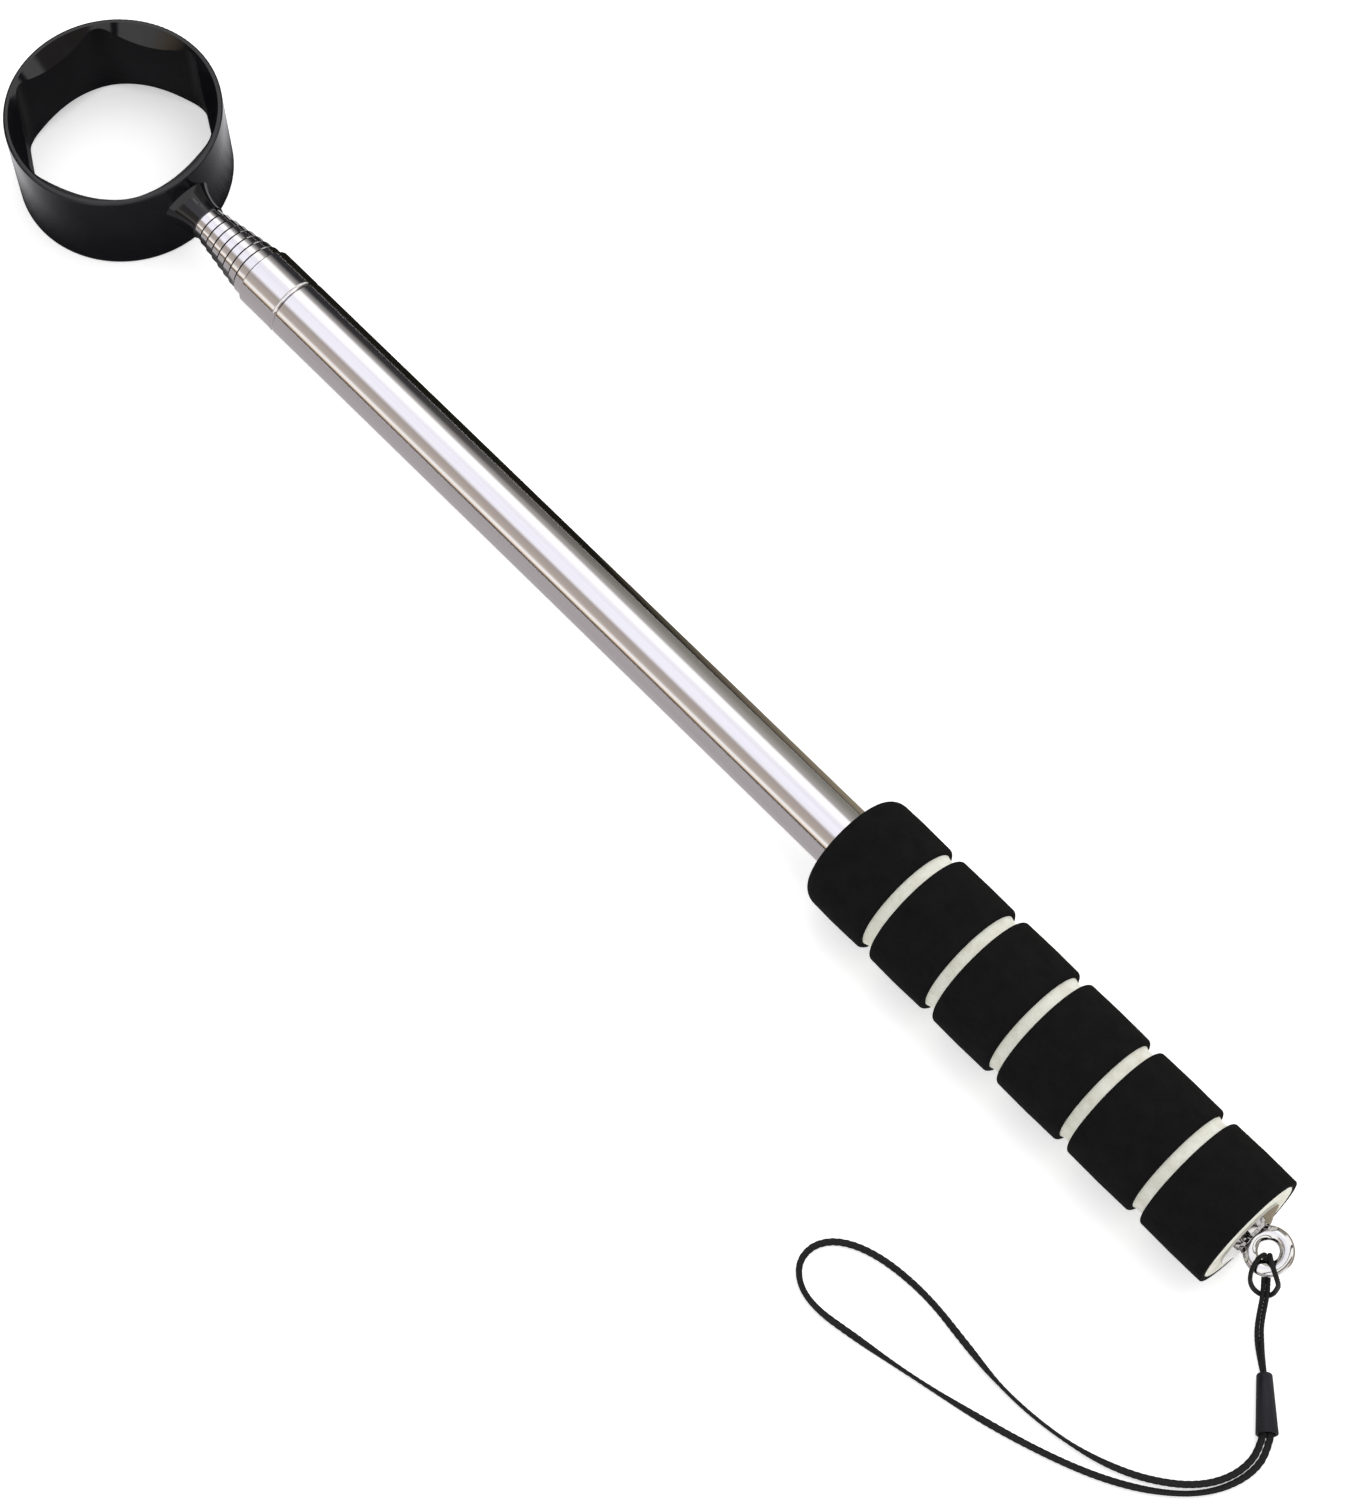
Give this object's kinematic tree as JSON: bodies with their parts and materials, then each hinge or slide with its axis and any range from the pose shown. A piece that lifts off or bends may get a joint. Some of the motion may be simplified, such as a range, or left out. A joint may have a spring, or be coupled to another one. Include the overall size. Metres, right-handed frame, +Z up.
{
  "type": "golf ball retriever",
  "caption": "Telescopic golf ball retriever: steel tubes nested in a foam-gripped pole, a black hoop that holds a ball, an eye and a wrist cord.",
  "frame": {"origin": "on the surface the closed retriever lies on, under the middle of its closed length", "axes": "+X along the pole from the strap eye to the catch hoop, +Y to the side the wrist loop lies on, +Z up"},
  "size_m": [0.4237, 0.0995, 0.0288],
  "materials": {
    "gloss_black_plastic": "moulded, high gloss",
    "polished_steel_tube": "polished stainless steel",
    "turned_steel": "turned",
    "chrome": "bright nickel-chrome plate",
    "spring_brass": "rolled strip",
    "pale_foam": "matte closed-cell foam",
    "black_foam": "matte closed-cell foam",
    "black_cord": "braided",
    "black_bead": "satin moulded"
  },
  "bodies": {
    "handle": {"outer_tube": "polished_steel_tube", "end_plug": "turned_steel", "end_cap": "chrome", "screw_eye": "chrome", "grip_core": "pale_foam", "grip_band_1": "black_foam", "grip_band_2": "black_foam", "grip_band_3": "black_foam", "grip_band_4": "black_foam", "grip_band_5": "black_foam", "grip_band_6": "black_foam", "lanyard_cord": "black_cord", "cord_bead": "black_bead", "wrist_loop": "black_cord"},
    "section_8": {"sliding_tube_8": "polished_steel_tube", "friction_sleeve_8": "spring_brass"},
    "section_7": {"sliding_tube_7": "polished_steel_tube", "friction_sleeve_7": "spring_brass"},
    "section_6": {"sliding_tube_6": "polished_steel_tube", "friction_sleeve_6": "spring_brass"},
    "section_5": {"sliding_tube_5": "polished_steel_tube", "friction_sleeve_5": "spring_brass"},
    "section_4": {"sliding_tube_4": "polished_steel_tube", "friction_sleeve_4": "spring_brass"},
    "section_3": {"sliding_tube_3": "polished_steel_tube", "friction_sleeve_3": "spring_brass"},
    "section_2": {"sliding_tube_2": "polished_steel_tube", "friction_sleeve_2": "spring_brass"},
    "tip_sleeve": {"friction_sleeve_1": "spring_brass"},
    "head": {"sliding_tube_1": "polished_steel_tube", "head_stud": "turned_steel", "catch_hoop": "gloss_black_plastic"}
  },
  "joints": [
    {"name": "section_8_slide", "type": "slide", "parent": "handle", "child": "section_8", "axis": [1, 0, 0], "range_m": [0, 0.2764]},
    {"name": "section_7_slide", "type": "slide", "parent": "section_8", "child": "section_7", "axis": [1, 0, 0], "range_m": [0, 0.2792]},
    {"name": "section_6_slide", "type": "slide", "parent": "section_7", "child": "section_6", "axis": [1, 0, 0], "range_m": [0, 0.2816]},
    {"name": "section_5_slide", "type": "slide", "parent": "section_6", "child": "section_5", "axis": [1, 0, 0], "range_m": [0, 0.284]},
    {"name": "section_4_slide", "type": "slide", "parent": "section_5", "child": "section_4", "axis": [1, 0, 0], "range_m": [0, 0.2865]},
    {"name": "section_3_slide", "type": "slide", "parent": "section_4", "child": "section_3", "axis": [1, 0, 0], "range_m": [0, 0.2889]},
    {"name": "section_2_slide", "type": "slide", "parent": "section_3", "child": "section_2", "axis": [1, 0, 0], "range_m": [0, 0.2913]},
    {"name": "section_1_slide", "type": "slide", "parent": "section_2", "child": "tip_sleeve", "axis": [1, 0, 0], "range_m": [0, 0.2938]},
    {"name": "head_twist", "type": "hinge", "parent": "tip_sleeve", "child": "head", "pos_m": [0.1425, 0, 0.0144], "axis": [1, 0, 0], "continuous": true}
  ]
}
